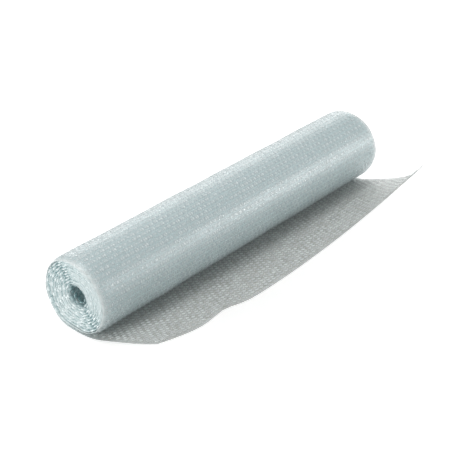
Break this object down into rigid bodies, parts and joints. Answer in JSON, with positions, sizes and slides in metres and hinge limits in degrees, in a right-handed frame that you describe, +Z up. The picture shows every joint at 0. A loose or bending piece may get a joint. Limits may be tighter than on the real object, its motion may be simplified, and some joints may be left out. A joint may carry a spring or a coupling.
{
  "type": "bubble wrap roll",
  "caption": "Coreless roll of small-bubble cushioning film lying on its side, with a flattened spiral of turns, an open centre hole and a loose tail.",
  "frame": {"origin": "on the floor, at the middle of the flat spot under the roll", "axes": "+X along the roll's axis, from the near end to the far end; +Z up; the tail lies towards -Y"},
  "size_m": [0.75, 0.269, 0.1404],
  "materials": {
    "film": "pale blue-green translucent polyethylene, soft gloss"
  },
  "bodies": {
    "root": {"bubble_wrap": "film"}
  },
  "joints": []
}
